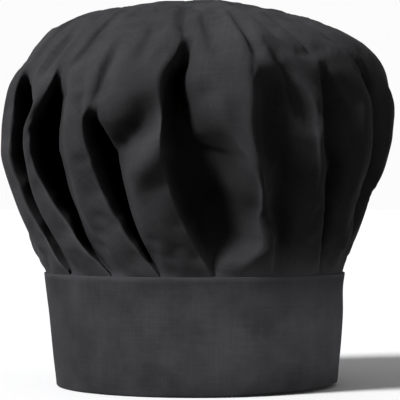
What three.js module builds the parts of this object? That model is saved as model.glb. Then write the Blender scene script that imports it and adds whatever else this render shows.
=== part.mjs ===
// A chef's hat in black cotton: a puffed crown of pleated cloth sewn into an upright band.
// Millimetres, +Z up. The hat stands on its band, and the origin is the middle of the head
// opening, on the surface that it stands on. The front of the hat faces -Y.
import * as THREE from "three";
import { mergeVertices } from "three/addons/utils/BufferGeometryUtils.js";

// Band: one doubled strip of cloth, whose ends lap at the back.
const BAND_HEIGHT = 73;
const BAND_BOTTOM_WIDTH = 182;
const BAND_TOP_WIDTH = 195;
const BAND_TOP_SHIFT = -1.6; // the band leans this far towards -X at its top edge
const BAND_LAYER = 1.2; // one of its two layers, with half of the stiffening
const BAND_LAP = 26; // how far the ends overlap
const BAND_LAP_RAMP = 30; // the length in which the outer end climbs over the inner one
const BAND_STEP_DEG = 5;

// Crown: one round cloth, pleated into the band.
const CROWN_WIDTH = 253.5;
const CROWN_DEPTH = 248;
const CROWN_RISE = 175; // from the band's top edge to the top of the crown
const CROWN_WALL = 1.2;
const SEAM_ALLOWANCE = 8; // how far the crown's edge runs down behind the band's outer layer
const FOLD_DEPTH = 25; // the deepest valley between two pleats
const SEAM_LIP = 0.6; // the crown stands straight this far above the band's edge, then flares

const CLEARANCE = 0.3; // between pieces, and between the band's lapped ends

// The band's outer face, from the bottom to the top edge. Spread is the share of the way from
// the bottom width to the top width.
const BAND_FACE = [
  { height: 0.0, spread: 0.0 },
  { height: 0.4, spread: 0.4 },
  { height: 0.75, spread: 0.69 },
  { height: 1.0, spread: 1.0 },
];

// The crown's outline from the seam to the top, read off the hat's two sides. Rise is a share of
// CROWN_RISE. The radius is a share of the band's top radius plus a share of half the crown's
// width, which differs between the hat's left (-X) and its right.
const OUTLINE = [
  { rise: 0.0, band: 1.0, left: 0.0, right: 0.0 },
  { rise: 0.08, band: 0.86, left: 0.154, right: 0.135 },
  { rise: 0.154, band: 0.7, left: 0.315, right: 0.294 },
  { rise: 0.229, band: 0.54, left: 0.48, right: 0.455 },
  { rise: 0.303, band: 0.36, left: 0.656, right: 0.632 },
  { rise: 0.377, band: 0.2, left: 0.813, right: 0.79 },
  { rise: 0.434, band: 0.1, left: 0.91, right: 0.888 },
  { rise: 0.5, band: 0.03, left: 0.965, right: 0.962 },
  { rise: 0.6, band: 0.0, left: 0.972, right: 0.988 },
  { rise: 0.674, band: 0.0, left: 0.957, right: 0.972 },
  { rise: 0.73, band: 0.0, left: 0.928, right: 0.955 },
  { rise: 0.785, band: 0.0, left: 0.872, right: 0.915 },
  { rise: 0.835, band: 0.0, left: 0.82, right: 0.842 },
  { rise: 0.88, band: 0.0, left: 0.765, right: 0.735 },
  { rise: 0.925, band: 0.0, left: 0.66, right: 0.61 },
  { rise: 0.962, band: 0.0, left: 0.49, right: 0.43 },
  { rise: 0.987, band: 0.0, left: 0.25, right: 0.22 },
  { rise: 1.0, band: 0.0, left: 0.0, right: 0.0 },
];

// The pleats in turn round the hat. A pleat's lip is at these angles from the front, positive
// towards +X: at the seam, at the belly and at its valley's apex. Below the belly it sweeps early
// (1) or evenly (0), and at the share turn of the rise it starts to lean towards the apex. Its
// valley, to the right of the lip, ends at the share top of the rise, has a share of FOLD_DEPTH,
// and gapes for a share of the way to the next lip.
const PLEATS = [
  { seam: -54, belly: -70.5, apex: -66, early: 1, turn: 0.62, top: 0.76, depth: 1.15, gape: 0.5 },
  { seam: -32.5, belly: -57, apex: -47, early: 1, turn: 0.5, top: 0.72, depth: 1.15, gape: 0.42 },
  { seam: -13.5, belly: -32.5, apex: -33.5, early: 1, turn: 0.4, top: 0.57, depth: 1.15, gape: 0.33 },
  { seam: 5.5, belly: -10, apex: -5.5, early: 1, turn: 0.66, top: 0.815, depth: 0.82, gape: 0.52 },
  { seam: 28.5, belly: 15, apex: 15, early: 0, turn: 0.6, top: 0.7, depth: 0.4, gape: 0.85 },
  { seam: 52.5, belly: 37.5, apex: 37.5, early: 0.3, turn: 0.62, top: 0.74, depth: 0.45, gape: 0.6 },
  { seam: 77, belly: 60, apex: 55, early: 0.6, turn: 0.6, top: 0.72, depth: 0.5, gape: 0.6 },
  { seam: 101, belly: 82.5, apex: 86, early: 0.8, turn: 0.55, top: 0.67, depth: 0.8, gape: 0.55 },
  { seam: 125, belly: 104.5, apex: 110, early: 1, turn: 0.6, top: 0.78, depth: 1.1, gape: 0.5 },
  { seam: 147.5, belly: 128, apex: 126, early: 0.7, turn: 0.52, top: 0.64, depth: 1.0, gape: 0.46 },
  { seam: 170, belly: 148, apex: 156, early: 1, turn: 0.6, top: 0.77, depth: 1.15, gape: 0.5 },
  { seam: 193, belly: 173, apex: 174, early: 0.8, turn: 0.6, top: 0.7, depth: 0.8, gape: 0.5 },
  { seam: 215.5, belly: 196.5, apex: 201, early: 0.6, turn: 0.64, top: 0.82, depth: 1.1, gape: 0.52 },
  { seam: 238, belly: 218, apex: 219, early: 1, turn: 0.5, top: 0.65, depth: 1.0, gape: 0.48 },
  { seam: 260.5, belly: 239.5, apex: 247, early: 0.9, turn: 0.6, top: 0.77, depth: 1.15, gape: 0.48 },
  { seam: 283.5, belly: 263, apex: 265, early: 1, turn: 0.56, top: 0.74, depth: 1.15, gape: 0.5 },
];

// One pleat's section, from its lip to the next one. A point lies at a share of the gape plus a
// share of the flat panel beyond it, and sinks by a share of the valley's depth.
const PLEAT_SECTION = [
  { gape: 0.0, panel: 0.0, sink: 0.0 },
  { gape: -0.05, panel: 0.0, sink: 0.4 },
  { gape: 0.08, panel: 0.0, sink: 0.97 },
  { gape: 0.32, panel: 0.0, sink: 0.95 },
  { gape: 0.66, panel: 0.0, sink: 0.48 },
  { gape: 1.0, panel: 0.05, sink: 0.04 },
  { gape: 1.0, panel: 0.36, sink: -0.06 },
  { gape: 1.0, panel: 0.72, sink: -0.08 },
];

// How deep and how wide a valley is on its way up, at shares of its own height.
const VALLEY_RUN = [
  { up: 0.0, depth: 0.1, gape: 0.3 },
  { up: 0.07, depth: 0.42, gape: 0.4 },
  { up: 0.16, depth: 0.74, gape: 0.52 },
  { up: 0.32, depth: 0.95, gape: 0.78 },
  { up: 0.5, depth: 1.0, gape: 0.97 },
  { up: 0.76, depth: 1.0, gape: 1.0 },
  { up: 0.9, depth: 0.76, gape: 0.86 },
  { up: 0.97, depth: 0.34, gape: 0.62 },
  { up: 1.03, depth: 0.04, gape: 0.5 },
  { up: 1.2, depth: 0.0, gape: 0.5 },
];

// Large soft dents in the panels. A dent's middle is at an angle and a share of the rise. Wide,
// high and depth are in millimetres, and lean is in degrees clockwise from upright.
const DENTS = [
  { angle: -18, rise: 0.5, wide: 11, high: 22, lean: 45, depth: 12 },
  { angle: 2.5, rise: 0.3, wide: 15, high: 27, lean: -20, depth: 10 },
  { angle: 118, rise: 0.5, wide: 10, high: 18, lean: 40, depth: 4.5 },
  { angle: 185, rise: 0.36, wide: 11, high: 24, lean: -20, depth: 5 },
  { angle: 228, rise: 0.55, wide: 9, high: 20, lean: 35, depth: 4.5 },
];

const BELLY_RISE = 0.54; // where the lips reach their belly angle
const SWEEP_POWER = 2.4;

const mix = (a, b, share) => a + (b - a) * share;
const clamp = (x) => Math.min(1, Math.max(0, x));
const ease = (x) => clamp(x) ** 2 * (3 - 2 * clamp(x));
const radians = THREE.MathUtils.degToRad;

// A column of a table at a value of its key column, straight between the rows.
function read(table, key, at, column) {
  const next = table.findIndex((row) => row[key] >= at);
  if (next <= 0) return table[next === 0 ? 0 : table.length - 1][column];
  const [low, high] = [table[next - 1], table[next]];
  return mix(low[column], high[column], (at - low[key]) / (high[key] - low[key]));
}

// A point at a radius from the hat's axis, at an angle from the front, with a height.
function around(angle, radius, z, depthScale = 1) {
  return new THREE.Vector3(
    radius * Math.sin(angle),
    -radius * Math.cos(angle) * depthScale,
    z,
  );
}

function bandRadius(z, angle) {
  const spread = read(BAND_FACE, "height", clamp(z / BAND_HEIGHT), "spread");
  const shift = BAND_TOP_SHIFT * clamp(z / BAND_HEIGHT);
  return mix(BAND_BOTTOM_WIDTH, BAND_TOP_WIDTH, spread) / 2 + shift * Math.sin(angle);
}

// A closed mesh from a grid of points that joins up round the hat, a row for each level. The
// last row may be a single point.
function addGrid(triangles, grid, outward) {
  const push = (a, b, c) => triangles.push(...(outward ? [a, b, c] : [a, c, b]));
  for (let level = 0; level + 1 < grid.length; level++) {
    const [low, high] = [grid[level], grid[level + 1]];
    for (let i = 0; i < low.length; i++) {
      const j = (i + 1) % low.length;
      if (high.length === 1) {
        push(low[i], low[j], high[0]);
      } else {
        push(low[i], low[j], high[j]);
        push(low[i], high[j], high[i]);
      }
    }
  }
}

function geometryOf(triangles) {
  const positions = triangles.flatMap((point) => point.toArray());
  const geometry = new THREE.BufferGeometry();
  geometry.setAttribute("position", new THREE.Float32BufferAttribute(positions, 3));
  return mergeVertices(geometry, 1e-4);
}

// The band

// The band's cross-section as distances in from its outer face. The inner layer stops short of
// the top edge, which leaves the rebate that holds the crown's edge.
function bandSection() {
  const rebate = BAND_HEIGHT - SEAM_ALLOWANCE;
  const face = BAND_FACE.map((row) => row.height * BAND_HEIGHT);
  const back = face.filter((z) => z < rebate).reverse();
  return [
    ...face.map((z) => ({ in: 0, z })),
    { in: BAND_LAYER, z: BAND_HEIGHT },
    { in: BAND_LAYER, z: rebate },
    { in: 2 * BAND_LAYER, z: rebate },
    ...back.map((z) => ({ in: 2 * BAND_LAYER, z })),
  ];
}

// The strip runs once round from its inner end at the back, then climbs over that end.
function bandGeometry() {
  const section = bandSection();
  const radius = BAND_TOP_WIDTH / 2;
  const lapAngle = BAND_LAP / radius;
  const rampAngle = BAND_LAP_RAMP / radius;
  const sweep = 2 * Math.PI + lapAngle;
  const start = Math.PI - lapAngle / 2;
  const climb = 2 * BAND_LAYER + CLEARANCE;
  const steps = Math.ceil(sweep / radians(BAND_STEP_DEG));
  const rings = [];
  for (let step = 0; step <= steps; step++) {
    const run = (sweep * step) / steps;
    const angle = start + run;
    const out = climb * ease((run - (2 * Math.PI - rampAngle)) / rampAngle);
    rings.push(section.map((p) => around(angle, bandRadius(p.z, angle) - p.in + out, p.z)));
  }
  const triangles = [];
  for (let step = 0; step < steps; step++) {
    const [near, far] = [rings[step], rings[step + 1]];
    section.forEach((_, i) => {
      const j = (i + 1) % section.length;
      triangles.push(near[i], far[i], far[j]);
      triangles.push(near[i], far[j], near[j]);
    });
  }
  const flat = section.map((p) => new THREE.Vector2(-p.in, p.z));
  for (const [a, b, c] of THREE.ShapeUtils.triangulateShape(flat, [])) {
    triangles.push(rings[0][a], rings[0][b], rings[0][c]);
    triangles.push(rings[steps][a], rings[steps][c], rings[steps][b]);
  }
  return geometryOf(triangles);
}

// The crown

// The angle of a pleat's lip at a share of the rise.
function lipAngle(pleat, rise) {
  const below = clamp(rise / BELLY_RISE);
  const sweep = mix(ease(below), 1 - (1 - below) ** SWEEP_POWER, pleat.early);
  const above = ease((rise - pleat.turn) / (pleat.top - pleat.turn));
  return radians(mix(mix(pleat.seam, pleat.belly, sweep), pleat.apex, above));
}

// The crown's outline without its pleats: the radius at one row, towards an angle.
function outlineRadius(row, angle) {
  const side = mix(row.left, row.right, 0.5 + 0.5 * Math.sin(angle));
  const seam = bandRadius(BAND_HEIGHT, angle) - BAND_LAYER - CLEARANCE;
  return row.band * seam + (side * CROWN_WIDTH) / 2;
}

// How far the dents push the cloth in at one place.
function dentDepth(angle, rise) {
  return DENTS.reduce((sum, dent) => {
    const turn = THREE.MathUtils.euclideanModulo(angle - radians(dent.angle) + Math.PI, 2 * Math.PI);
    const across = ((turn - Math.PI) * CROWN_WIDTH) / 2;
    const along = (rise - dent.rise) * CROWN_RISE;
    const lean = radians(dent.lean);
    const u = (across * Math.cos(lean) - along * Math.sin(lean)) / dent.wide;
    const v = (across * Math.sin(lean) + along * Math.cos(lean)) / dent.high;
    return sum + dent.depth * Math.exp(-(u * u + v * v));
  }, 0);
}

// One row round the crown. Each point is placed by its angle and by how far it sinks. Where a
// valley is shallow, its cloth isn't tucked in under the lip.
function pleatedRow(rise, place) {
  return PLEATS.flatMap((pleat, i) => {
    const up = rise / pleat.top;
    const open = read(VALLEY_RUN, "up", up, "depth");
    const depth = FOLD_DEPTH * pleat.depth * open;
    const gape = pleat.gape * read(VALLEY_RUN, "up", up, "gape");
    const wrap = i + 1 === PLEATS.length ? 2 * Math.PI : 0;
    const lip = lipAngle(pleat, rise);
    const nextLip = lipAngle(PLEATS[(i + 1) % PLEATS.length], rise) + wrap;
    return PLEAT_SECTION.map((p) => {
      const tuck = p.gape < 0 ? open : 1;
      const angle = mix(lip, nextLip, gape * p.gape * tuck + (1 - gape) * p.panel);
      return place(angle, depth * p.sink + dentDepth(angle, rise));
    });
  });
}

// The cloth's outer face at one row of the outline.
function crownRow(row) {
  if (row.rise === 1) return [new THREE.Vector3(0, 0, BAND_HEIGHT + CROWN_RISE)];
  const depthScale = mix(CROWN_DEPTH / CROWN_WIDTH, 1, row.band);
  const z = BAND_HEIGHT + mix(SEAM_LIP, CROWN_RISE, row.rise);
  return pleatedRow(row.rise, (angle, sink) =>
    around(angle, outlineRadius(row, angle) - sink, z, depthScale),
  );
}

// The cloth's edge, which stands in the band's rebate.
function hemRow(z) {
  return pleatedRow(0, (angle) => around(angle, bandRadius(z, angle) - BAND_LAYER - CLEARANCE, z));
}

// The same grid one wall further in, along each point's mean normal.
function insetGrid(grid, wall) {
  const last = grid.length - 1;
  return grid.map((row, level) =>
    row.map((point, i) => {
      const at = (l, k) => {
        const line = grid[Math.min(last, Math.max(0, l))];
        return line[(k + line.length) % line.length];
      };
      if (row.length === 1) return point.clone().setZ(point.z - wall);
      const normals = [];
      for (const [dl, dk] of [[1, 1], [1, -1], [-1, 1], [-1, -1]]) {
        const up = at(level + dl, i).clone().sub(point);
        const side = at(level, i + dk).clone().sub(point);
        const normal = side.cross(up).multiplyScalar(dl * dk);
        if (normal.length() > 0) normals.push(normal.normalize());
      }
      const mean = normals.reduce((sum, n) => sum.add(n), new THREE.Vector3()).normalize();
      const slant = normals.reduce((sum, n) => sum + n.dot(mean), 0) / normals.length;
      return point.clone().addScaledVector(mean, -wall / Math.max(slant, 0.7));
    }),
  );
}

function crownGeometry() {
  const hemLevel = BAND_HEIGHT - SEAM_ALLOWANCE + CLEARANCE;
  const outer = [hemRow(hemLevel), hemRow(BAND_HEIGHT), ...OUTLINE.map(crownRow)];
  const inner = insetGrid(outer, CROWN_WALL);
  // The wall's foot is level, on the rebate's floor.
  inner[0].forEach((point) => point.setZ(hemLevel));
  const triangles = [];
  addGrid(triangles, outer, true);
  addGrid(triangles, inner, false);
  addGrid(triangles, [inner[0], outer[0]], true);
  return geometryOf(triangles);
}

// The hat

const cotton = new THREE.MeshStandardMaterial({
  color: 0x2b2b2d,
  roughness: 0.9,
  metalness: 0,
});
const stiffenedCotton = new THREE.MeshStandardMaterial({
  color: 0x38383a,
  roughness: 0.88,
  metalness: 0,
});

const hat = new THREE.Group();
const band = new THREE.Mesh(bandGeometry(), stiffenedCotton);
band.name = "band";
hat.add(band);
const crown = new THREE.Mesh(crownGeometry(), cotton);
crown.name = "crown";
hat.add(crown);

export default hat;
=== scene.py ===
# %% [markdown]
# # A chef's hat in black cotton
#
# The hat is two sewn pieces: a crown, which is one round cloth, pleated and puffed, and a band,
# which is a doubled strip. The construction model already gives their place and size. This
# lesson gives them the look of real cloth: its folds, its weave and its light.

# %% Load the construction model
import math

import bpy
import numpy as np
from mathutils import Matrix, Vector, noise


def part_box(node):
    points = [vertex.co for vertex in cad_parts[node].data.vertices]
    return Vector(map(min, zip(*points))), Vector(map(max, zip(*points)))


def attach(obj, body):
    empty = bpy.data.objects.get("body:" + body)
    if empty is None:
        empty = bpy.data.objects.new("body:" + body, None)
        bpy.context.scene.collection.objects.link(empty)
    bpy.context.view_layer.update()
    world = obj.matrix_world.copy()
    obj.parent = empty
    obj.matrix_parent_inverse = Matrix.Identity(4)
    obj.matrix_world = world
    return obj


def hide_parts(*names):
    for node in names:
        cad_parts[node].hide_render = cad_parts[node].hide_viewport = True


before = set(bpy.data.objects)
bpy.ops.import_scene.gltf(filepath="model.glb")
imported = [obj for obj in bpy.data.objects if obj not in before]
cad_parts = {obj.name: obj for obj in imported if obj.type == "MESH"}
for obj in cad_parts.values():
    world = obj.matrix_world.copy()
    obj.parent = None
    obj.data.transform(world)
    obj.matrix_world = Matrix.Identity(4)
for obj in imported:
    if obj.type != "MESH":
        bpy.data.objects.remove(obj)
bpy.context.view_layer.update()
band_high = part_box("band")[1]
crown_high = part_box("crown")[1]
bpy.ops.object.select_all(action="DESELECT")

# %% [markdown]
# ## Sizes
#
# The band's height and the crown's top come from the construction model, so the cloth follows
# it. The rest are the tailor's sizes: how wide the band is at each edge, how thick each layer
# of cloth is, and how much of the crown's edge is caught in the seam.

# %% Sizes in metres
MM = 0.001
BAND_HEIGHT = band_high[2]
CROWN_RISE = crown_high[2] - BAND_HEIGHT
BAND_BOTTOM_WIDTH = 182 * MM
BAND_TOP_WIDTH = 195 * MM
BAND_TOP_SHIFT = -1.6 * MM  # the band leans a little towards -X as it rises
BAND_LAYER = 1.2 * MM
CROWN_WIDTH = 253.5 * MM
CROWN_DEPTH = 248 * MM
CROWN_WALL = 0.9 * MM
SEAM_ALLOWANCE = 8 * MM
SEAM_LIP = 0.6 * MM  # the crown starts this far above the band's top edge
FOLD_DEPTH = 25 * MM  # a valley of depth 1
CLEARANCE = 0.3 * MM  # between layers, so that they never share a place
TINY = 1e-9
print("band height", BAND_HEIGHT, "crown rise", CROWN_RISE)

# %% [markdown]
# ## Reading tables smoothly
#
# Folds are easier to judge in a short table than in code. Each table has a row for each station
# and this helper runs a smooth curve through the rows. The curve never swings past a row, so
# what the table says is what the cloth does.


# %% Smooth tables
def smooth_read(table, key, column, at):
    """Reads a column at the values `at` of the key column, on a curve without overshoot."""
    x = np.array([row[key] for row in table], float)
    y = np.array([row[column] for row in table], float)
    step = np.diff(x)
    slope = np.diff(y) / step
    tangent = np.zeros_like(y)
    same = slope[:-1] * slope[1:] > 0
    weight_a, weight_b = 2 * step[1:] + step[:-1], step[1:] + 2 * step[:-1]
    with np.errstate(divide="ignore", invalid="ignore"):
        mean = (weight_a + weight_b) / (weight_a / slope[:-1] + weight_b / slope[1:])
    tangent[1:-1] = np.where(same, mean, 0)
    tangent[0], tangent[-1] = slope[0], slope[-1]
    at = np.clip(at, x[0], x[-1])
    i = np.clip(np.searchsorted(x, at, side="right") - 1, 0, len(step) - 1)
    u = (at - x[i]) / step[i]
    h = step[i]
    rise = y[i] * (1 + 2 * u) * (1 - u) ** 2 + y[i + 1] * u * u * (3 - 2 * u)
    return rise + h * u * (1 - u) * (tangent[i] * (1 - u) - tangent[i + 1] * u)


def ease(x):
    """A share from 0 to 1 that starts and ends gently."""
    x = np.clip(x, 0, 1)
    return x * x * (3 - 2 * x)


def window(x, start, rising, end, falling):
    """A share that rises from 0 after the start and is back at 0 at the end."""
    return ease((x - start) / rising) * ease((end - x) / falling)


def mix(a, b, share):
    """The value at a share of the way from a to b."""
    return a + (b - a) * share


# %% [markdown]
# ## The crown's outline
#
# The real crown is blown up by the air under it and stands out over the band like a soft
# mushroom. Its outline could be a sphere pulled out of shape, but the two sides of this hat
# differ, so the outline is a table: at each share of the rise, the radius is a share of the
# band's radius plus a share of half the crown's width.

# %% Outline table
OUTLINE = [
    dict(rise=0.0, band=1.0, left=0.0, right=0.0),
    dict(rise=0.08, band=0.86, left=0.154, right=0.135),
    dict(rise=0.154, band=0.7, left=0.315, right=0.294),
    dict(rise=0.229, band=0.54, left=0.48, right=0.455),
    dict(rise=0.303, band=0.36, left=0.656, right=0.632),
    dict(rise=0.377, band=0.2, left=0.81, right=0.8),
    dict(rise=0.434, band=0.1, left=0.9, right=0.896),
    dict(rise=0.5, band=0.03, left=0.948, right=0.965),
    dict(rise=0.6, band=0.0, left=0.96, right=0.988),
    dict(rise=0.674, band=0.0, left=0.95, right=0.972),
    dict(rise=0.73, band=0.0, left=0.928, right=0.955),
    dict(rise=0.785, band=0.0, left=0.872, right=0.915),
    dict(rise=0.835, band=0.0, left=0.82, right=0.842),
    dict(rise=0.88, band=0.0, left=0.755, right=0.735),
    dict(rise=0.925, band=0.0, left=0.625, right=0.605),
    dict(rise=0.962, band=0.0, left=0.43, right=0.445),
    dict(rise=0.987, band=0.0, left=0.2, right=0.24),
    dict(rise=1.0, band=0.0, left=0.0, right=0.0),
]


# %% Radii of band and crown
def band_radius(z, angle):
    """The radius of the band's outer face."""
    share = np.clip(z / BAND_HEIGHT, 0, 1)
    half_width = mix(BAND_BOTTOM_WIDTH, BAND_TOP_WIDTH, share) / 2
    return half_width + BAND_TOP_SHIFT * share * np.sin(angle)


# Each row gains its radius towards the hat's left and right, and a running length, so that the
# cloth's rows can be spaced evenly along the cloth and not along the height, which would leave
# too few on top.
CLOTH_RUN = 0.0
for i, row in enumerate(OUTLINE):
    for side, turn in (("left", -math.pi / 2), ("right", math.pi / 2)):
        seam = band_radius(BAND_HEIGHT, turn) - BAND_LAYER - CLEARANCE
        row[side + " reach"] = row["band"] * seam + row[side] * CROWN_WIDTH / 2
    reach = (row["left reach"] + row["right reach"]) / 2
    if i:
        climb = (row["rise"] - OUTLINE[i - 1]["rise"]) * CROWN_RISE
        CLOTH_RUN += math.hypot(reach - last_reach, climb)
    last_reach = reach
    row["run"] = CLOTH_RUN
print("from the seam to the middle of the top", round(CLOTH_RUN, 3), "m of cloth")


def outline_point(run_at, angle):
    """Radius, height and depth scale of the smooth outline, for grids of places and angles."""
    left = smooth_read(OUTLINE, "run", "left reach", run_at)
    right = smooth_read(OUTLINE, "run", "right reach", run_at)
    radius = mix(left, right, 0.5 + 0.5 * np.sin(angle))
    z = BAND_HEIGHT + mix(SEAM_LIP, CROWN_RISE, smooth_read(OUTLINE, "run", "rise", run_at))
    roundness = smooth_read(OUTLINE, "run", "band", run_at)
    return radius, z, mix(CROWN_DEPTH / CROWN_WIDTH, 1, roundness)


def place(angle, radius, z, depth_scale=1.0):
    """Points at an angle from the front, which faces -Y, positive towards +X."""
    x, y = radius * np.sin(angle), -radius * np.cos(angle) * depth_scale
    return np.stack([x, y, z + 0 * radius], -1)


# %% [markdown]
# ## The pleats
#
# A knife pleat is cloth folded flat to one side: a visible panel that ends in a lip, and a
# hidden fold under it. Sewn into the band, sixteen of them open as they rise and lean to one
# side. Each row of the table is one pleat: where its lip is at the seam, at the belly and at the
# shoulder, and how deep and wide the valley is beside it. Three valleys in front also run back
# behind their lip, and a fourth widens in its lower half, which leaves a dark pocket in each.

# %% Pleat tables
# Seam, belly and apex are the lip's angles in degrees from the front. Early says how soon it
# leans, turn where it starts to bend to the apex, and top where it ends, as shares of the rise.
# Depth is a share of FOLD_DEPTH. Gape is the valley's share of the way to the next lip. Tuck is
# how far it reaches back behind the lip. Upper widens its upper half, and flare its lower half.
PLEATS = [
    dict(
        seam=-54, belly=-73.5, apex=-71, early=1, turn=0.6, top=0.72,
        depth=1.1, gape=0.42, tuck=1.0, upper=0.42,
    ),
    dict(
        seam=-32.5, belly=-57, apex=-47, early=1, turn=0.5, top=0.695,
        depth=1.3, gape=0.44, tuck=1.0, upper=0.14,
    ),
    dict(
        seam=-13.5, belly=-32.5, apex=-33.5, early=1, turn=0.4, top=0.57,
        depth=1.15, gape=0.29, tuck=0.25, upper=0.1,
    ),
    dict(
        seam=5.5, belly=-10, apex=-5.5, early=1, turn=0.66, top=0.815,
        depth=1.0, gape=0.36, flare=0.6,
    ),
    dict(seam=28.5, belly=15, apex=15, early=0, turn=0.6, top=0.7, depth=0.4, gape=0.85),
    dict(seam=52.5, belly=37.5, apex=37.5, early=0.3, turn=0.62, top=0.74, depth=0.45, gape=0.6),
    dict(seam=77, belly=60, apex=55, early=0.6, turn=0.6, top=0.72, depth=0.5, gape=0.6),
    dict(seam=101, belly=82.5, apex=86, early=0.8, turn=0.55, top=0.67, depth=0.8, gape=0.55),
    dict(seam=125, belly=104.5, apex=110, early=1, turn=0.6, top=0.78, depth=1.1, gape=0.5),
    dict(seam=147.5, belly=128, apex=126, early=0.7, turn=0.52, top=0.64, depth=1.0, gape=0.46),
    dict(seam=170, belly=148, apex=156, early=1, turn=0.6, top=0.77, depth=1.2, gape=0.5),
    dict(seam=193, belly=173, apex=174, early=0.8, turn=0.6, top=0.7, depth=0.8, gape=0.5),
    dict(seam=215.5, belly=196.5, apex=201, early=0.6, turn=0.64, top=0.82, depth=1.1, gape=0.52),
    dict(seam=238, belly=218, apex=219, early=1, turn=0.5, top=0.65, depth=1.0, gape=0.48),
    dict(seam=260.5, belly=239.5, apex=247, early=0.9, turn=0.6, top=0.77, depth=1.2, gape=0.48),
    dict(seam=283.5, belly=263, apex=265, early=1, turn=0.56, top=0.74, depth=1.3, gape=0.5),
]
PLEAT_COUNT = len(PLEATS)
for pleat in PLEATS:
    for extra in ("tuck", "upper", "flare"):
        pleat.setdefault(extra, 0)

# One pleat's section from lip to lip. Each point lies at a share of the gape plus a share of the
# panel beyond it. Far takes the place of gape where the valley flares: its floor then lies
# further from the lip. Tuck is how much of the pleat's tuck moves the point back behind the lip,
# and sink is its share of the depth. Cuts is how many mesh columns the stretch after a point
# gets, and edge is how much the fold rubs there, a mark that also paints a highlight on the lip.
SECTION = [
    dict(gape=0.0, far=0.0, tuck=0, panel=0.0, sink=0.0, cuts=1, edge=1.0),
    dict(gape=0.015, far=0.006, tuck=0.05, panel=0.0, sink=0.07, cuts=1, edge=0.5),
    dict(gape=0.04, far=0.018, tuck=0.2, panel=0.0, sink=0.24, cuts=2, edge=0.0),
    dict(gape=0.12, far=0.06, tuck=0.5, panel=0.0, sink=0.54, cuts=2, edge=0.0),
    dict(gape=0.22, far=0.16, tuck=0.85, panel=0.0, sink=0.86, cuts=2, edge=0.0),
    dict(gape=0.36, far=0.37, tuck=1, panel=0.0, sink=0.98, cuts=2, edge=0.0),
    dict(gape=0.47, far=0.56, tuck=0.92, panel=0.0, sink=0.96, cuts=2, edge=0.0),
    dict(gape=0.62, far=0.73, tuck=0.66, panel=0.0, sink=0.72, cuts=2, edge=0.0),
    dict(gape=0.8, far=0.87, tuck=0.25, panel=0.0, sink=0.38, cuts=2, edge=0.0),
    dict(gape=1.0, far=1.0, tuck=0, panel=0.1, sink=0.12, cuts=3, edge=0.0),
    dict(gape=1.0, far=1.0, tuck=0, panel=0.35, sink=-0.06, cuts=3, edge=0.0),
    dict(gape=1.0, far=1.0, tuck=0, panel=0.68, sink=-0.08, cuts=2, edge=0.0),
    dict(gape=1.0, far=1.0, tuck=0, panel=0.9, sink=-0.05, cuts=1, edge=0.2),
    dict(gape=1.0, far=1.0, tuck=0, panel=0.97, sink=-0.02, cuts=1, edge=0.7),
]

# A valley's depth and width on its way up, at shares of its own height.
VALLEY_RUN = [
    dict(up=0.0, depth=0.1, gape=0.3),
    dict(up=0.07, depth=0.42, gape=0.4),
    dict(up=0.16, depth=0.74, gape=0.52),
    dict(up=0.32, depth=0.95, gape=0.78),
    dict(up=0.5, depth=1.0, gape=0.97),
    dict(up=0.76, depth=1.0, gape=1.0),
    dict(up=0.9, depth=0.76, gape=0.86),
    dict(up=0.97, depth=0.34, gape=0.62),
    dict(up=1.03, depth=0.04, gape=0.5),
    dict(up=1.2, depth=0.0, gape=0.5),
]
BELLY_RISE = 0.54  # the share of the rise at which the crown is widest
SWEEP_POWER = 2.4  # how quickly an early lip leans over

# Where flare and upper act, and where the sections of a valley that has ended become even, as
# shares of the valley's own height.
FLARE_SPAN = dict(start=0, rising=0.14, end=0.86, falling=0.5)
UPPER_SPAN = dict(start=0.3, rising=0.3, end=1.0, falling=0.25)
CLOSING_START, CLOSING_LENGTH = 0.9, 0.3
print(PLEAT_COUNT, "pleats of", len(SECTION), "section points")


# %% The lips' paths
def lip_angle(pleat, rise):
    """The angle of a pleat's lip, at shares of the rise."""
    below = np.clip(rise / BELLY_RISE, 0, 1)
    sweep = mix(ease(below), 1 - (1 - below) ** SWEEP_POWER, pleat["early"])
    above = ease((rise - pleat["turn"]) / (pleat["top"] - pleat["turn"]))
    return np.radians(mix(mix(pleat["seam"], pleat["belly"], sweep), pleat["apex"], above))


# %% The crown's sheet, as rows and columns of points
CROWN_ROWS = 104
POLE_GAP = 0.012  # the last row stays this share of the run short of the middle


def section_controls(rise):
    """For each row, the angle and sink of every pleat's section points."""
    angles, sinks = [], []
    reach = mix(BAND_TOP_WIDTH, CROWN_WIDTH, ease(rise / BELLY_RISE)) / 2
    for k, pleat in enumerate(PLEATS):
        following = PLEATS[(k + 1) % PLEAT_COUNT]
        wrap = 2 * math.pi if k + 1 == PLEAT_COUNT else 0
        lip, next_lip = lip_angle(pleat, rise), lip_angle(following, rise) + wrap
        up = rise / pleat["top"]
        depth = FOLD_DEPTH * pleat["depth"] * smooth_read(VALLEY_RUN, "up", "depth", up)
        gape = pleat["gape"] * smooth_read(VALLEY_RUN, "up", "gape", up)
        flaring = window(up, **FLARE_SPAN)
        gape = gape + pleat["flare"] * flaring + pleat["upper"] * window(up, **UPPER_SPAN)
        slant = flaring * np.sign(pleat["flare"])
        closed = ease((up - CLOSING_START) / CLOSING_LENGTH)
        for i, point in enumerate(SECTION):
            share = gape * mix(point["gape"], point["far"], slant) + (1 - gape) * point["panel"]
            behind = depth * pleat["tuck"] * point["tuck"] / reach
            angles.append(mix(lip, next_lip, mix(share, i / len(SECTION), closed)) - behind)
            sinks.append(depth * point["sink"])
    return np.stack(angles, 1), np.stack(sinks, 1)


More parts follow.
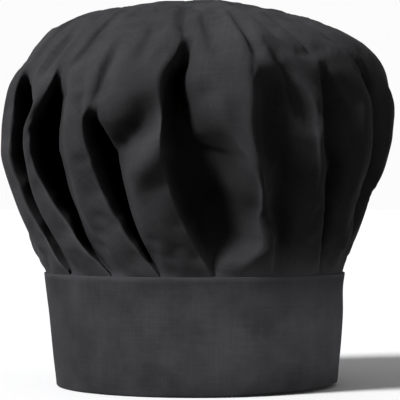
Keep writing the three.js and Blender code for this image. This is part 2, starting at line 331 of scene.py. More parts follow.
def through(points, turn):
    """A smooth closed curve through each row's points, with each stretch cut as SECTION says."""
    before = np.roll(points, 1, 1)
    after, later = np.roll(points, -1, 1), np.roll(points, -2, 1)
    before[:, 0] -= turn
    after[:, -1] += turn
    later[:, -2:] += turn
    columns = []
    for i in range(points.shape[1]):
        p0, p1, p2, p3 = before[:, i], points[:, i], after[:, i], later[:, i]
        cuts = SECTION[i % len(SECTION)]["cuts"]
        for cut in range(cuts):
            u = cut / cuts
            bend = 2 * p0 - 5 * p1 + 4 * p2 - p3
            twist = 3 * p1 - p0 - 3 * p2 + p3
            columns.append(0.5 * (2 * p1 + (p2 - p0) * u + bend * u * u + twist * u**3))
    return np.stack(columns, 1)


run_rows = np.linspace(0, CLOTH_RUN * (1 - POLE_GAP), CROWN_ROWS)
rise_rows = smooth_read(OUTLINE, "run", "rise", run_rows)
control_angles, control_sinks = section_controls(rise_rows)
angles = through(control_angles, 2 * math.pi)
sinks = through(control_sinks, 0)
fold_sinks = sinks.copy()
CROWN_COLUMNS = angles.shape[1]
print("crown sheet", CROWN_ROWS, "rows of", CROWN_COLUMNS, "points")

# %% [markdown]
# ## Wrinkles and dents
#
# Pressed cotton that has been packed and pulled into shape is never even. Large soft dents
# come from the cloth's slack, finer puckers run up out of the seam, and the panels have a slight
# crumple. Each is smooth noise at its own scale. The dents and soft folds that the hat shows
# plainly are in tables of their own.

# %% Dents and soft folds
# Angle in degrees and rise say where a dent's middle is. Wide and high are in millimetres, lean
# is in degrees clockwise from upright, and depth is in millimetres inwards.
DENTS = [
    dict(angle=9.0, rise=0.44, wide=22, high=17, lean=-35, depth=4.5),
    dict(angle=-18.0, rise=0.5, wide=11, high=22, lean=45, depth=14.0),
    dict(angle=-14.0, rise=0.39, wide=9, high=18, lean=38, depth=-4.0),
    dict(angle=13, rise=0.2, wide=21, high=11, lean=8, depth=5.0),
    dict(angle=3, rise=0.62, wide=11, high=12, lean=20, depth=3.0),
    dict(angle=5, rise=0.77, wide=10, high=15, lean=0, depth=1.6),
    dict(angle=-61, rise=0.71, wide=9, high=14, lean=10, depth=2.5),
    dict(angle=118, rise=0.5, wide=10, high=18, lean=40, depth=4.5),
    dict(angle=185, rise=0.36, wide=11, high=24, lean=-20, depth=5.0),
    dict(angle=228, rise=0.55, wide=9, high=20, lean=35, depth=4.5),
    dict(angle=70, rise=0.33, wide=10, high=22, lean=-20, depth=4.0),
]

# The left side of a soft fold is steeper than its right, because the cloth laps over there.
STEEP_SIDE = 0.6
GENTLE_SIDE = 1.7

# A soft fold runs up from angle a at the rise low to angle b at the rise high. Its width and
# depth are in millimetres, and a depth below zero is a ridge.
FOLD_FADE_IN, FOLD_FADE_OUT = 0.3, 0.4
SOFT_FOLDS = [
    dict(a=-30.5, low=0.58, b=-25.0, high=0.84, wide=3.6, depth=4.2),
    dict(a=-54.0, low=0.66, b=-49.0, high=0.9, wide=3.6, depth=3.6),
    dict(a=16.8, low=0.7, b=13.5, high=0.96, wide=3.4, depth=4.0),
    dict(a=17.5, low=0.15, b=13.5, high=1.05, wide=13.0, depth=-6.0),
    dict(a=35.0, low=0.47, b=20.5, high=0.82, wide=5.5, depth=6.0),
    dict(a=41.0, low=0.46, b=23.5, high=0.74, wide=3.5, depth=-1.6),
    dict(a=37.8, low=0.74, b=31.0, high=0.98, wide=3.2, depth=3.0),
    dict(a=-3.5, low=0.8, b=-7.0, high=0.99, wide=3.4, depth=2.6),
    dict(a=-40.0, low=0.7, b=-33.0, high=0.97, wide=4.0, depth=2.4),
    dict(a=-66.0, low=0.74, b=-62.0, high=0.95, wide=4.0, depth=3.0),
    dict(a=6.0, low=0.72, b=2.0, high=0.95, wide=4.5, depth=1.8),
    dict(a=26.0, low=0.8, b=22.0, high=0.99, wide=3.6, depth=2.2),
    dict(a=54.0, low=0.78, b=46.0, high=0.98, wide=3.6, depth=2.6),
    dict(a=-18.0, low=0.7, b=-14.0, high=0.9, wide=4.5, depth=1.6),
    dict(a=66.0, low=0.62, b=48.0, high=0.86, wide=5.0, depth=4.5),
    dict(a=70.0, low=0.62, b=55.0, high=0.82, wide=3.0, depth=-1.4),
    dict(a=88.0, low=0.7, b=84.0, high=0.9, wide=2.2, depth=2.6),
    dict(a=132.0, low=0.6, b=120.0, high=0.85, wide=4.5, depth=4.5),
    dict(a=128.0, low=0.65, b=124.0, high=0.86, wide=2.0, depth=2.4),
    dict(a=158.0, low=0.77, b=160.0, high=0.93, wide=2.2, depth=2.4),
    dict(a=190.0, low=0.5, b=180.0, high=0.84, wide=5.0, depth=5.0),
    dict(a=221.0, low=0.64, b=224.0, high=0.88, wide=2.0, depth=2.8),
    dict(a=250.0, low=0.75, b=252.0, high=0.93, wide=2.2, depth=2.0),
    dict(a=270.0, low=0.7, b=272.0, high=0.88, wide=2.4, depth=2.6),
]


def angle_between(angle, middle):
    """The signed angle from a middle in degrees, the short way round, in radians."""
    return (angle - np.radians(middle) + math.pi) % (2 * math.pi) - math.pi


def dent_depth(dent, angle, radius, run_at):
    """How far one dent pushes the cloth in."""
    row_run = smooth_read(OUTLINE, "rise", "run", np.array([dent["rise"]]))[0]
    across = angle_between(angle, dent["angle"]) * radius
    along = run_at - row_run
    lean = math.radians(dent["lean"])
    u = (across * math.cos(lean) - along * math.sin(lean)) / (dent["wide"] * MM)
    v = (across * math.sin(lean) + along * math.cos(lean)) / (dent["high"] * MM)
    return dent["depth"] * MM * np.exp(-(u * u + v * v))


def fold_depth(fold, angle, radius, rise):
    """How far one soft fold pushes the cloth in. It fades out at both ends."""
    share = (rise - fold["low"]) / (fold["high"] - fold["low"])
    across = angle_between(angle, mix(fold["a"], fold["b"], np.clip(share, 0, 1))) * radius
    fade = window(share, 0, FOLD_FADE_IN, 1, FOLD_FADE_OUT)
    wide = fold["wide"] * MM * np.where(across < 0, STEEP_SIDE, GENTLE_SIDE)
    return fold["depth"] * MM * fade * np.exp(-((across / wide) ** 2))


def noise_grid(points, size, stretch=(1, 1, 1), seed=0.0):
    """Smooth noise between about -1 and 1 at each point, for lumps of a size in metres."""
    scaled = points.reshape(-1, 3) * (np.array(stretch) / size) + seed
    values = [noise.noise(Vector(p), noise_basis="PERLIN_ORIGINAL") for p in scaled]
    return np.array(values).reshape(points.shape[:2])


run_grid = np.repeat(run_rows[:, None], CROWN_COLUMNS, 1)
radius, z, depth_scale = outline_point(run_grid, angles)
smooth_points = place(angles, radius, z, depth_scale)

# Lumps of slack are 50 mm across, the crumple's 16 mm, and the puckers' 11 mm and long upwards.
# All fade out at the seam, where the cloth is held, and the slack is half as much on top.
SLACK, SLACK_SIZE = 2.4 * MM, 50 * MM
CRUMPLE, CRUMPLE_SIZE, CRUMPLE_SHARE = 0.7 * MM, 16 * MM, 0.8
PUCKER, PUCKER_SIZE, PUCKER_STRETCH = 1.1 * MM, 11 * MM, (1, 1, 0.12)
HELD_AT_SEAM, TOP_START, TOP_SLACK = 0.12, 0.25, 0.5
PUCKER_REACH, PUCKER_START = 0.16, 0.02
up_share = run_grid / CLOTH_RUN
fade_at_seam = ease(up_share / HELD_AT_SEAM)
fade_at_pole = ease((1 - up_share) / TOP_START)
slack = SLACK * noise_grid(smooth_points, SLACK_SIZE) * fade_at_seam
crumple = CRUMPLE * noise_grid(smooth_points, CRUMPLE_SIZE, seed=7.3) * fade_at_seam
puckers = PUCKER * noise_grid(smooth_points, PUCKER_SIZE, PUCKER_STRETCH, seed=3.1)
puckers *= np.exp(-((up_share / PUCKER_REACH) ** 2)) * ease(up_share / PUCKER_START)
sinks = sinks + slack * mix(TOP_SLACK, 1, fade_at_pole) + crumple * CRUMPLE_SHARE + puckers
for dent in DENTS:
    pushed = dent_depth(dent, angles, radius, run_grid)
    sinks = sinks + pushed
    fold_sinks += pushed
for soft_fold in SOFT_FOLDS:
    sinks = sinks + fold_depth(soft_fold, angles, radius, rise_rows[:, None])
print("deepest fold", round(float(sinks.max()) / MM, 1), "mm")

# %% [markdown]
# ## From numbers to cloth
#
# The sink is measured square to the outline. The same grid gives each point its place on the
# flat round cloth, and the weave is drawn there, so the threads run straight over the top and
# follow every fold, as they do when a flat cloth is pleated.

# %% The crown's points
SLOPE_STEP = CLOTH_RUN / 400  # how far to either side the outline's slope is measured


def profile_normal(run_at, angle):
    """The outward normal of the outline in the plane through the axis."""
    r1, z1, _ = outline_point(np.clip(run_at - SLOPE_STEP, 0, CLOTH_RUN), angle)
    r2, z2, _ = outline_point(np.clip(run_at + SLOPE_STEP, 0, CLOTH_RUN), angle)
    length = np.hypot(r2 - r1, z2 - z1)
    return (z2 - z1) / length, (r1 - r2) / length


normal_out, normal_up = profile_normal(run_grid, angles)
crown_points = place(angles, radius - sinks * normal_out, z - sinks * normal_up, depth_scale)

# The hem is the crown's edge, which stands inside the band's outer layer.
HEM_ROWS = 3
hem_levels = np.linspace(BAND_HEIGHT - SEAM_ALLOWANCE + CLEARANCE, BAND_HEIGHT, HEM_ROWS)
hem_angles = np.repeat(angles[:1], HEM_ROWS, 0)
hem_z = np.repeat(hem_levels[:, None], CROWN_COLUMNS, 1)
hem_radius = band_radius(hem_z, hem_angles) - BAND_LAYER - CLEARANCE
hem_points = place(hem_angles, hem_radius, hem_z)
cloth_points = np.concatenate([hem_points, crown_points])
POLE = (0, 0, BAND_HEIGHT + CROWN_RISE)

# Where each column lies on the flat round cloth, as an angle. The belly shows how much cloth
# each stretch of a pleat takes.
belly = crown_points[np.argmin(np.abs(rise_rows - BELLY_RISE))]
steps = np.linalg.norm(np.roll(belly, -1, 0) - belly, axis=1)
cloth_angle = np.concatenate([[0], np.cumsum(steps)])
cloth_angle *= 2 * math.pi / cloth_angle[-1]
cloth_run = np.concatenate([hem_levels - BAND_HEIGHT, run_rows])
cloth_radius = CLOTH_RUN - cloth_run


# %% Mesh helpers
def cloth_object(name, vertices, faces, uvs, layers):
    """A smooth mesh object with its place on the flat cloth and a value per point and layer."""
    mesh = bpy.data.meshes.new(name)
    mesh.from_pydata(vertices, [], faces)
    flat_place = mesh.uv_layers.new(name="cloth")
    flat_place.data.foreach_set("uv", np.array(uvs, np.float32).ravel())
    for layer_name, grid in layers.items():
        values = np.zeros(len(vertices), np.float32)
        values[: grid.size] = grid.ravel()
        mesh.attributes.new(layer_name, "FLOAT", "POINT").data.foreach_set("value", values)
    mesh.polygons.foreach_set("use_smooth", np.ones(len(faces), bool))
    piece = bpy.data.objects.new(name, mesh)
    bpy.context.collection.objects.link(piece)
    return piece


def crown_object(name, points, uv_of, layers):
    """Rows of points that close round the hat, and end in one point on top."""
    rows, columns = points.shape[:2]
    faces, uvs = [], []
    for i in range(rows - 1):
        low, high = i * columns, (i + 1) * columns
        for j in range(columns):
            k = (j + 1) % columns
            faces.append((low + j, low + k, high + k, high + j))
            uvs += [uv_of(i, j), uv_of(i, j + 1), uv_of(i + 1, j + 1), uv_of(i + 1, j)]
    last = (rows - 1) * columns
    for j in range(columns):
        faces.append((last + j, last + (j + 1) % columns, rows * columns))
        uvs += [uv_of(rows - 1, j), uv_of(rows - 1, j + 1), (0.0, 0.0)]
    return cloth_object(name, points.reshape(-1, 3).tolist() + [POLE], faces, uvs, layers)


def crown_uv(i, j):
    """The place on the flat cloth, in metres from its middle."""
    out, turn = cloth_radius[i], cloth_angle[j]
    return (out * math.cos(turn), out * math.sin(turn))


# %% [markdown]
# ## Letting the cloth settle
#
# A cloth that is only drawn is too smooth. Here a coarse copy of it becomes a simulated cloth:
# a little too much of it for the shape, so that it buckles into small folds, held near its
# drawn shape by soft pins and firmly at the seam, with some air pressure inside. What the
# simulation adds to each coarse point is then carried over to the fine grid. Large moves would
# leave lumps at the valleys' ends, so each is limited, and what a whole row has in common is
# left out, which keeps the crown's outline.

# %% Simulate a coarse copy
SETTLE_FRAMES = 16
COARSE = 2  # the copy has every second row and column
SETTLE_LIMIT = 1.8 * MM
PINNED_ROWS = 3
SOFT_PIN = 0.17
LIP_PIN = 0.7
COTTON_SETTINGS = dict(
    quality=6,
    mass=0.12,
    air_damping=4,
    tension_stiffness=12,
    compression_stiffness=12,
    shear_stiffness=4,
    bending_stiffness=2.0,
    vertex_group_mass="pins",
    pin_stiffness=0.8,
    shrink_min=-0.012,  # below zero, the cloth grows
    shrink_max=-0.012,
    use_pressure=True,
    uniform_pressure_force=0.05,
)
GRAVITY_SHARE = 0.15  # the starch in the cloth carries the rest of its weight


def settle(points):
    """How far each coarse point of the cloth moves when it is let go."""
    coarse = points[::COARSE, ::COARSE]
    rows, columns = coarse.shape[:2]
    piece = crown_object("settling", coarse, lambda i, j: (0, 0), {})
    weights = np.full((rows, columns), SOFT_PIN)
    weights[:, :: columns // PLEAT_COUNT] = LIP_PIN
    weights[:PINNED_ROWS] = 1
    group = piece.vertex_groups.new(name="pins")
    for value in np.unique(weights):
        group.add([int(k) for k in np.flatnonzero(weights == value)], float(value), "REPLACE")
    group.add([rows * columns], 1.0, "REPLACE")
    cloth = piece.modifiers.new("cloth", "CLOTH")
    cloth.point_cache.frame_start = 1
    cloth.point_cache.frame_end = SETTLE_FRAMES + 1
    for setting, value in COTTON_SETTINGS.items():
        setattr(cloth.settings, setting, value)
    cloth.settings.effector_weights.gravity = GRAVITY_SHARE
    cloth.collision_settings.use_collision = False
    scene = bpy.context.scene
    for frame_number in range(1, SETTLE_FRAMES + 1):
        scene.frame_set(frame_number)
    shaped = piece.evaluated_get(bpy.context.evaluated_depsgraph_get()).data
    after = np.empty(len(shaped.vertices) * 3, np.float32)
    shaped.vertices.foreach_get("co", after)
    after = after.reshape(-1, 3)[: rows * columns].reshape(rows, columns, 3)
    scene.frame_set(1)
    bpy.data.objects.remove(piece)
    moved = after - coarse
    length = np.linalg.norm(moved, axis=2, keepdims=True)
    mean, most = float(length.mean()) / MM, float(length.max()) / MM
    print("settling moves points", round(mean, 2), "mm, and at most", round(most, 2), "mm")
    moved *= np.minimum(1, SETTLE_LIMIT / np.maximum(length, TINY))
    reach = np.linalg.norm(coarse[..., :2], axis=2, keepdims=True)
    outwards = coarse[..., :2] / np.maximum(reach, TINY)
    outwards = np.concatenate([outwards, np.zeros_like(reach)], 2)
    swelling = (moved * outwards).sum(2, keepdims=True).mean(1, keepdims=True)
    moved = moved - swelling * outwards
    moved[..., 2] -= moved[..., 2].mean(1, keepdims=True)
    return moved


def finer(grid, rows, columns):
    """The coarse grid's values at all rows and columns of the fine grid.

    A column between two others lies on the cubic through the four nearest.
    """
    wide = np.empty((grid.shape[0], columns, 3))
    wide[:, ::2] = grid
    before, after = np.roll(grid, 1, 1), np.roll(grid, -1, 1)
    wide[:, 1::2] = (9 * (grid + after) - before - np.roll(grid, -2, 1)) / 16
    at = np.arange(rows) / COARSE
    low = np.minimum(at.astype(int), grid.shape[0] - 2)
    share = (at - low)[:, None, None]
    return wide[low] * (1 - share) + wide[low + 1] * share


cloth_points = cloth_points + finer(settle(cloth_points), *cloth_points.shape[:2])

# %% The fold edges, and the crown
# The edges of the folds rub most just above the seam, then less and less up to where the
# pleats have ended, and the same mark paints a highlight along each lip. Painted shade darkens
# the cloth in the valleys and dents, in full from a part of a valley's full depth on.
RUB_AND_HIGHLIGHT_STRENGTH, RUB_AND_HIGHLIGHT_START, RUB_AND_HIGHLIGHT_END = 1.2, 0.05, 0.85
PAINTED_SHADE_DEPTH = 0.65 * FOLD_DEPTH
column_edge = []
for k in range(PLEAT_COUNT):
    for i, point in enumerate(SECTION):
        following = SECTION[(i + 1) % len(SECTION)]
        for cut in range(point["cuts"]):
            column_edge.append(mix(point["edge"], following["edge"], cut / point["cuts"]))
rub_and_highlight = np.clip(RUB_AND_HIGHLIGHT_STRENGTH * (1 - rise_rows / RUB_AND_HIGHLIGHT_END), 0, 1) * ease(rise_rows / RUB_AND_HIGHLIGHT_START)
at_hem = np.zeros((HEM_ROWS, CROWN_COLUMNS))
crown_edge = np.concatenate([at_hem, np.outer(rub_and_highlight, column_edge)])
# Painted shade: the deeper a point lies in a fold or dent, the darker its colour.
crown_painted_shade = np.concatenate([at_hem, ease(fold_sinks / PAINTED_SHADE_DEPTH)])
crown_layers = {"fold_edge": crown_edge, "painted_fold_shade": crown_painted_shade}
crown = crown_object("crown_cloth", cloth_points, crown_uv, crown_layers)


# %% A wall's thickness
def apply_modifier(piece, kind, **settings):
    """Adds a modifier with its settings and applies it."""
    bpy.ops.object.select_all(action="DESELECT")
    piece.select_set(True)
    bpy.context.view_layer.objects.active = piece
    modifier = piece.modifiers.new(kind.lower(), kind)
    for name, value in settings.items():
        setattr(modifier, name, value)
    bpy.ops.object.modifier_apply(modifier=modifier.name)
    piece.select_set(False)


apply_modifier(crown, "SOLIDIFY", thickness=CROWN_WALL, offset=-1)
print("crown", len(crown.data.polygons), "faces")

# %% [markdown]
# ## The band
#
# The band is one strip folded along its bottom edge, so that it is doubled. Its outer layer
# ends in the top edge, and its inner layer stops lower, where the crown's edge is sewn in. The
# two ends lap at the back. It is made from its cross-section: the outline of the folded cloth,
# carried round the head, with the outer end climbing over the inner one. Washed cloth is never
# flat, so it gets low waves, and its bottom edge lifts off the table by a millimetre or two.

# %% The band's section
BAND_LAP = 26 * MM
BAND_LAP_RAMP = 30 * MM
BAND_STEPS = 300
FOLD_SLIT = 0.12 * MM  # between the two layers
EDGE_CUTS = 5
FOLD_CUTS = 9
FACE_ROWS = 26


def half_round(centre_in, centre_z, radius, start, end, cuts):
    """Points on an arc, as distances in from the outer face and heights."""
    turn = np.linspace(math.radians(start), math.radians(end), cuts)
    return [(centre_in - radius * math.cos(a), centre_z + radius * math.sin(a)) for a in turn]


def straight(distance_in, start, end):
    """Points up or down one face of a layer."""
    return [(distance_in, z) for z in np.linspace(start, end, FACE_ROWS)]


layer = (2 * BAND_LAYER - FOLD_SLIT) / 2
outer_top = BAND_HEIGHT - layer / 2
inner_top = BAND_HEIGHT - SEAM_ALLOWANCE - layer / 2
band_section = straight(0, BAND_LAYER, outer_top)
band_section += half_round(layer / 2, outer_top, layer / 2, 0, 180, EDGE_CUTS)[1:-1]
band_section += straight(layer, outer_top, BAND_LAYER)
band_section += straight(layer + FOLD_SLIT, BAND_LAYER, inner_top)
inner_middle = 1.5 * layer + FOLD_SLIT
band_section += half_round(inner_middle, inner_top, layer / 2, 0, 180, EDGE_CUTS)[1:-1]
band_section += straight(2 * BAND_LAYER, inner_top, BAND_LAYER)
band_section += half_round(BAND_LAYER, BAND_LAYER, BAND_LAYER, 180, 360, FOLD_CUTS)[1:-1]
print("band section", len(band_section), "points")


# %% The band's mesh
# Waves and a finer ripple push the band in and out, and fade out at both its edges. The lift
# raises the bottom edge, most of all round an angle on the right, and fades out upwards. The
# top edge is worn in full, which also paints a highlight along it, and the foot less, each over
# a strip of a millimetre or so.
WAVE, WAVE_SIZE = 1.6 * MM, 30 * MM
RIPPLE, RIPPLE_SIZE = 0.5 * MM, 15 * MM
FLAT_FOOT, FLAT_TOP = 6 * MM, 10 * MM
LIFT, LIFT_SIZE = 2.2 * MM, 45 * MM
SIDE_LIFT, SIDE_ANGLE, SIDE_SPREAD = 2.4 * MM, 62.0, 38
LIFT_HEIGHT = 20 * MM
TOP_RUB_AND_HIGHLIGHT, TOP_RUB_AND_HIGHLIGHT_RUN = 1.6 * MM, 1.0 * MM
FOOT_RUB, FOOT_RUB_RUN = 0.5, 1.5 * MM


def band_object(name):
    """The folded strip, carried once round and on over its own inner end."""
    radius = BAND_TOP_WIDTH / 2
    lap, ramp = BAND_LAP / radius, BAND_LAP_RAMP / radius
    sweep = 2 * math.pi + lap
    start = math.pi - lap / 2
    climb = 2 * BAND_LAYER + CLEARANCE
    section = np.array(band_section)
    turns = np.linspace(0, sweep, BAND_STEPS + 1)
    angle = (start + turns)[:, None]
    out = climb * ease((turns - (2 * math.pi - ramp)) / ramp)[:, None]
    inwards, z = section[:, 0][None, :], section[:, 1][None, :]
    points = place(angle, band_radius(z, angle) - inwards + out, z)
    waves = WAVE * noise_grid(points * np.array([1, 1, 0.8]), WAVE_SIZE, seed=11.7)
    ripple = RIPPLE * noise_grid(points, RIPPLE_SIZE, (1, 1, 0.7), seed=2.2)
    push = (waves + ripple) * window(z, 0, FLAT_FOOT, BAND_HEIGHT, FLAT_TOP)
    points[..., 0] += push * np.sin(angle)
    points[..., 1] -= push * np.cos(angle)
    lift = LIFT * np.maximum(noise_grid(points * np.array([1, 1, 0]), LIFT_SIZE, seed=5.5), 0)
    side = angle_between(angle, SIDE_ANGLE) / math.radians(SIDE_SPREAD)
    lift += SIDE_LIFT * np.exp(-(side**2))
    points[..., 2] += lift * (1 - ease(z / LIFT_HEIGHT))

    steps, count = points.shape[:2]
    faces, uvs = [], []
    around = turns * radius
    along = np.concatenate([[0], np.cumsum(np.linalg.norm(np.diff(section, axis=0), axis=1))])
    closing = along[-1] + np.linalg.norm(section[0] - section[-1])
    along = np.append(along, closing)
    for i in range(steps - 1):
        for j in range(count):
            k = (j + 1) % count
            faces.append((i * count + j, (i + 1) * count + j, (i + 1) * count + k, i * count + k))
            uvs += [(around[i], along[j]), (around[i + 1], along[j])]
            uvs += [(around[i + 1], along[j + 1]), (around[i], along[j + 1])]
    # The top edge's mark is wear and a painted highlight; the foot's is wear.
    top_rub_and_highlight = ease((z - BAND_HEIGHT + TOP_RUB_AND_HIGHLIGHT) / TOP_RUB_AND_HIGHLIGHT_RUN)
    foot_edge = FOOT_RUB * (1 - ease(z / FOOT_RUB_RUN))
    edges = np.repeat(np.maximum(top_rub_and_highlight, foot_edge), steps, 0)
    return cloth_object(name, points.reshape(-1, 3).tolist(), faces, uvs, {"fold_edge": edges})


def close_ends(piece):
    """Fills the open ends of the strip."""
    bpy.ops.object.select_all(action="DESELECT")
    piece.select_set(True)
    bpy.context.view_layer.objects.active = piece
    bpy.ops.object.mode_set(mode="EDIT")
    bpy.ops.mesh.select_all(action="DESELECT")
    bpy.ops.mesh.select_mode(type="EDGE")
    bpy.ops.mesh.select_non_manifold()
    bpy.ops.mesh.fill()
    bpy.ops.object.mode_set(mode="OBJECT")
    piece.select_set(False)


band = band_object("band_cloth")
close_ends(band)
print("band", len(band.data.polygons), "faces")


# %% [markdown]
# ## Colours and nodes
#
# Colours are written as they look on a screen, as hex values, and turned to the linear values
# that the renderer counts in. One helper adds any node with its settings and links.

# %% Colour and node helpers
def linear(hex_colour):
    """An sRGB hex colour as linear red, green, blue and alpha."""
    channels = [int(hex_colour[i : i + 2], 16) / 255 for i in (1, 3, 5)]
    return [c / 12.92 if c <= 0.04045 else ((c + 0.055) / 1.055) ** 2.4 for c in channels] + [1.0]


def add_node(tree, kind, inputs=None, **settings):
    """Adds a node. A value that is a socket is linked, and any other is set."""
    node = tree.nodes.new(kind)
    for name, value in settings.items():
        setattr(node, name, value)
    for name, value in (inputs or {}).items():
        if isinstance(value, bpy.types.NodeSocket):
            tree.links.new(value, node.inputs[name])
        else:
            node.inputs[name].default_value = value
    return node


# %% [markdown]
# ## Black cotton
#
# The cloth is plain-woven cotton in a black dye, pressed. Each thread is a little lighter on
# top than in the gap beside it, and the dye has taken slightly unevenly. Where an edge of a
# fold or of the band is worn the cloth is greyer, and this mark also paints a highlight along
# the lips and the band's top edge. Deep in the folds and dents the colour is darkened towards
# black as painted shade. Cotton scatters light from its loose fibres, which is a faint sheen at
# grazing angles, and it has almost no gloss.

# %% The cotton material
THREAD_SPACING = 0.85 * MM  # real threads lie 0.4 mm apart; drawn coarser so that they show
THREAD_HEIGHT = 0.12 * MM
SLUB_STRETCH = 0.045  # of the noise's scale along a thread, so that each slub runs along it
SLUB_SIZE = 1.5  # in thread spacings
FIBRE_SCALE = 900.0  # per metre, so that tufts of loose fibre are a millimetre apart
DYE_SCALE = 28.0  # per metre, so that patches of dye are some 35 mm across

# How much each of them lightens or darkens the cloth, as shares of the way from dark to light.
FIBRE_SHADE, WEAVE_SHADE, RUB_AND_HIGHLIGHT_SHADE, SLUB_SHADE = 0.5, 0.12, 0.65, 0.4
MEAN_SHADE = 0.65
# Painted shade: the near black that cloth deep in the folds and dents is darkened towards, and how
# far.
PAINTED_SHADE_BLACK, PAINTED_SHADE_SHARE = "#0B0B0C", 0.55


def cotton(name, dark, light, spacing, weave_depth, uneven):
    """Plain-woven cotton whose threads follow the UV map, which is in metres.

    Uneven is how far the dye's patches are lighter or darker than the mean.
    """
    material = bpy.data.materials.new(name)
    material.use_nodes = True
    tree = material.node_tree
    shader = tree.nodes["Principled BSDF"]
    uv = add_node(tree, "ShaderNodeUVMap", uv_map="cloth").outputs["UV"]
    place_on = add_node(tree, "ShaderNodeTexCoord").outputs["Object"]
    split = add_node(tree, "ShaderNodeSeparateXYZ", {"Vector": uv})
    waves = []
    for axis in "XY":
        phase = {0: split.outputs[axis], 1: 2 * math.pi / spacing}
        turn = add_node(tree, "ShaderNodeMath", phase, operation="MULTIPLY").outputs[0]
        waves.append(add_node(tree, "ShaderNodeMath", {0: turn}, operation="SINE").outputs[0])
    threads = {0: waves[0], 1: waves[1]}
    weave = add_node(tree, "ShaderNodeMath", threads, operation="MULTIPLY").outputs[0]
    tufts = {"Vector": uv, "Scale": FIBRE_SCALE, "Detail": 3.0, "Roughness": 0.7}
    fibres = add_node(tree, "ShaderNodeTexNoise", tufts).outputs["Fac"]
    streaks = []
    for stretch in ((1.0, SLUB_STRETCH, 1.0), (SLUB_STRETCH, 1.0, 1.0)):
        along = {0: uv, 1: stretch}
        pulled = add_node(tree, "ShaderNodeVectorMath", along, operation="MULTIPLY")
        thick = {"Vector": pulled.outputs["Vector"], "Detail": 2.0}
        thick["Scale"] = 1 / (SLUB_SIZE * spacing)
        streaks.append(add_node(tree, "ShaderNodeTexNoise", thick).outputs["Fac"])
    both_ways = {0: streaks[0], 1: streaks[1]}
    slubs = add_node(tree, "ShaderNodeMath", both_ways, operation="ADD").outputs[0]
    patches = {"Vector": place_on, "Scale": DYE_SCALE, "Detail": 4.0, "Roughness": 0.6}
    dye = add_node(tree, "ShaderNodeTexNoise", patches).outputs["Fac"]
    # Worn fold edges, a mark that also paints a highlight along the lips and the band's top edge.
    rub_and_highlight_mask = add_node(tree, "ShaderNodeAttribute", attribute_name="fold_edge").outputs["Fac"]
    painted_fold_shade = add_node(tree, "ShaderNodeAttribute", attribute_name="painted_fold_shade").outputs["Fac"]
    spread = {"From Min": 0.3, "From Max": 0.7, "To Min": 0.5 - uneven, "To Max": 0.5 + uneven}
    shade = add_node(tree, "ShaderNodeMapRange", {"Value": dye, **spread}).outputs["Result"]
    for mark, strength in (
        (fibres, FIBRE_SHADE),
        (weave, WEAVE_SHADE),
        (rub_and_highlight_mask, RUB_AND_HIGHLIGHT_SHADE),
        (slubs, SLUB_SHADE),
    ):
        added = {0: mark, 1: strength, 2: shade}
        shade = add_node(tree, "ShaderNodeMath", added, operation="MULTIPLY_ADD").outputs[0]
    mean = {0: shade, 1: MEAN_SHADE}
    share = add_node(tree, "ShaderNodeMath", mean, operation="SUBTRACT", use_clamp=True).outputs[0]
    tints = {"Factor": share, "A": linear(dark), "B": linear(light)}
    colour = add_node(tree, "ShaderNodeMix", tints, data_type="RGBA").outputs["Result"]
    # Painted shade: the colour is mixed towards a near black where the cloth lies deep in a fold
    # or dent.
    painted_shade_inputs = {0: painted_fold_shade, 1: PAINTED_SHADE_SHARE}
    deep = add_node(tree, "ShaderNodeMath", painted_shade_inputs, operation="MULTIPLY").outputs[0]
    depths = {"Factor": deep, "A": colour, "B": linear(PAINTED_SHADE_BLACK)}
    colour_with_painted_shade = add_node(tree, "ShaderNodeMix", depths, data_type="RGBA")
    relief = {0: fibres, 1: 0.6, 2: weave}
    height = add_node(tree, "ShaderNodeMath", relief, operation="MULTIPLY_ADD").outputs[0]
    raised = {"Height": height, "Distance": weave_depth, "Strength": 0.5}
    bump = add_node(tree, "ShaderNodeBump", raised).outputs["Normal"]
    tree.links.new(colour_with_painted_shade.outputs["Result"], shader.inputs["Base Color"])
    tree.links.new(bump, shader.inputs["Normal"])
    shader.inputs["Roughness"].default_value = 0.88
    shader.inputs["Specular IOR Level"].default_value = 0.08
    shader.inputs["Sheen Weight"].default_value = 0.03
    shader.inputs["Sheen Roughness"].default_value = 0.45
    shader.inputs["Sheen Tint"].default_value = linear("#B8BABF")
    return material


CLOTHS = [
    dict(piece=crown, name="black_poplin_crown", dark="#262628", light="#3C3C3E", uneven=0.28),
    dict(piece=band, name="black_poplin_band", dark="#252527", light="#38383B", uneven=0.42),
]
for cloth in CLOTHS:
    tints = cloth["dark"], cloth["light"]
    material = cotton(cloth["name"], *tints, THREAD_SPACING, THREAD_HEIGHT, cloth["uneven"])
    cloth["piece"].data.materials.append(material)
    print(material.name, "on", cloth["piece"].name)

# %% [markdown]
# ## Floor, light and camera
#
# The hat stands on a plain pale floor in a white studio. The key light is soft and comes from
# the upper left, which makes each lip bright and leaves the valley to its right dark. The
# surround is white behind the hat and dimmer elsewhere, most of all on the right and below, and
# a weak low light keeps the band's right side from going black. The camera has the photo's
# place: a little above the band, a long lens from a metre and a quarter away.

# %% The floor
# In the photo, where the hat is cut out against white, no light comes from below it. So the
# floor takes the hat's shadow but reflects no light onto the cloth.
FLOOR_SIZE = 60.0
bpy.ops.mesh.primitive_plane_add(size=FLOOR_SIZE, location=(0, 0, 0))
floor = bpy.context.active_object
floor.name = "floor"
floor.select_set(False)
floor.visible_diffuse = False
floor_material = bpy.data.materials.new("pale_paint")
floor_material.use_nodes = True
floor_shader = floor_material.node_tree.nodes["Principled BSDF"]
floor_shader.inputs["Base Color"].default_value = linear("#E4E4E5")
floor_shader.inputs["Roughness"].default_value = 0.9
floor_shader.inputs["Specular IOR Level"].default_value = 0.1
floor.data.materials.append(floor_material)


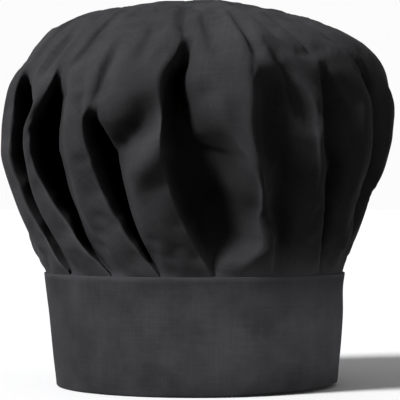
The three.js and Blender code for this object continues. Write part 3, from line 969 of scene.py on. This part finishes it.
# %% The lights
def aim(thing, at):
    """Turns a light or camera towards a point."""
    thing.rotation_euler = (Vector(at) - thing.location).to_track_quat("-Z", "Y").to_euler()


def add_light(name, kind, location, at, energy, **settings):
    """A light that shines from a place towards a point."""
    data = bpy.data.lights.new(name, kind)
    data.energy = energy
    for key, value in settings.items():
        setattr(data, key, value)
    light = bpy.data.objects.new(name, data)
    bpy.context.collection.objects.link(light)
    light.location = location
    aim(light, at)


HAT_MIDDLE = (0, 0, 0.13)
BAND_MIDDLE = (0, 0, 0.036)
add_light("key", "SUN", (-1.6, -1.1, 1.8), HAT_MIDDLE, 4.9, angle=math.radians(13))
add_light(
    "low fill",
    "AREA",
    (0.55, -0.55, 0.036),
    BAND_MIDDLE,
    0.06,
    shape="RECTANGLE",
    size=0.3,
    size_y=0.05,
    spread=math.radians(8),
)

# %% The studio around
# Each row is one change of the surround's brightness: along which axis a direction is measured,
# between which two values it changes, and from what brightness to what. Beneath dims beside,
# and behind counts where it is brighter than both.
SURROUND = [
    dict(part="behind", axis="Y", start=0.86, end=0.98, first=0.0, last=0.97),
    dict(part="beside", axis="X", start=-0.9, end=0.7, first=0.44, last=0.23),
    dict(part="beneath", axis="Z", start=-0.7, end=0.0, first=0.35, last=1.0),
]
world = bpy.data.worlds.new("studio")
bpy.context.scene.world = world
world.use_nodes = True
sky = world.node_tree
direction = add_node(sky, "ShaderNodeTexCoord").outputs["Generated"]
towards = add_node(sky, "ShaderNodeSeparateXYZ", {"Vector": direction})
bright = {}
for row in SURROUND:
    change = {"Value": towards.outputs[row["axis"]], "From Min": row["start"]}
    change |= {"From Max": row["end"], "To Min": row["first"], "To Max": row["last"]}
    smooth = add_node(sky, "ShaderNodeMapRange", change, interpolation_type="SMOOTHSTEP")
    bright[row["part"]] = smooth.outputs["Result"]
sides = {0: bright["beside"], 1: bright["beneath"]}
around = add_node(sky, "ShaderNodeMath", sides, operation="MULTIPLY").outputs[0]
all_round = {0: bright["behind"], 1: around}
strength = add_node(sky, "ShaderNodeMath", all_round, operation="MAXIMUM").outputs[0]
sky.links.new(strength, sky.nodes["Background"].inputs["Strength"])
sky.nodes["Background"].inputs["Color"].default_value = linear("#FFFFFF")
print("world", world.name, "with", len(SURROUND), "changes of brightness")

# %% The camera
PHOTO_PIXEL = 0.65 * MM  # at the hat's middle
FRAME_PIXELS = 400
HAT_FOOT_PIXEL = 384  # how far down the frame the hat stands
CAMERA_DISTANCE = 1.25
CAMERA_HEIGHT = 0.118
CENTRE_RIGHT = 3 * PHOTO_PIXEL  # the photo's middle is this far right of the hat's
CENTRE_HEIGHT = (HAT_FOOT_PIXEL - FRAME_PIXELS / 2) * PHOTO_PIXEL
SENSOR_WIDTH = 36
camera_data = bpy.data.cameras.new("camera")
camera_data.sensor_width = SENSOR_WIDTH
camera_data.lens = SENSOR_WIDTH * CAMERA_DISTANCE / (FRAME_PIXELS * PHOTO_PIXEL)
camera = bpy.data.objects.new("camera", camera_data)
bpy.context.collection.objects.link(camera)
camera.location = (CENTRE_RIGHT, -CAMERA_DISTANCE, CAMERA_HEIGHT)
aim(camera, (CENTRE_RIGHT, 0, CENTRE_HEIGHT))
bpy.context.scene.camera = camera
print("lens", round(camera_data.lens, 1), "mm")

# %% The view's black
# A photograph's deepest folds are plain black. The view's black level does the same here.
BLACK_LEVEL = (0.0018, 0.0018, 0.0021)
view = bpy.context.scene.view_settings
view.view_transform = "Standard"
view.use_curve_mapping = True
view.curve_mapping.black_level = BLACK_LEVEL
view.curve_mapping.update()

# %% [markdown]
# ## Fit to the construction model
#
# Each cloth stands for the plain solid of the same name, and says how large the flat cloth was
# before it was sewn.

# %% Ride and replace
for piece, node in ((crown, "crown"), (band, "band")):
    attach(piece, "root")
    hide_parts(node)
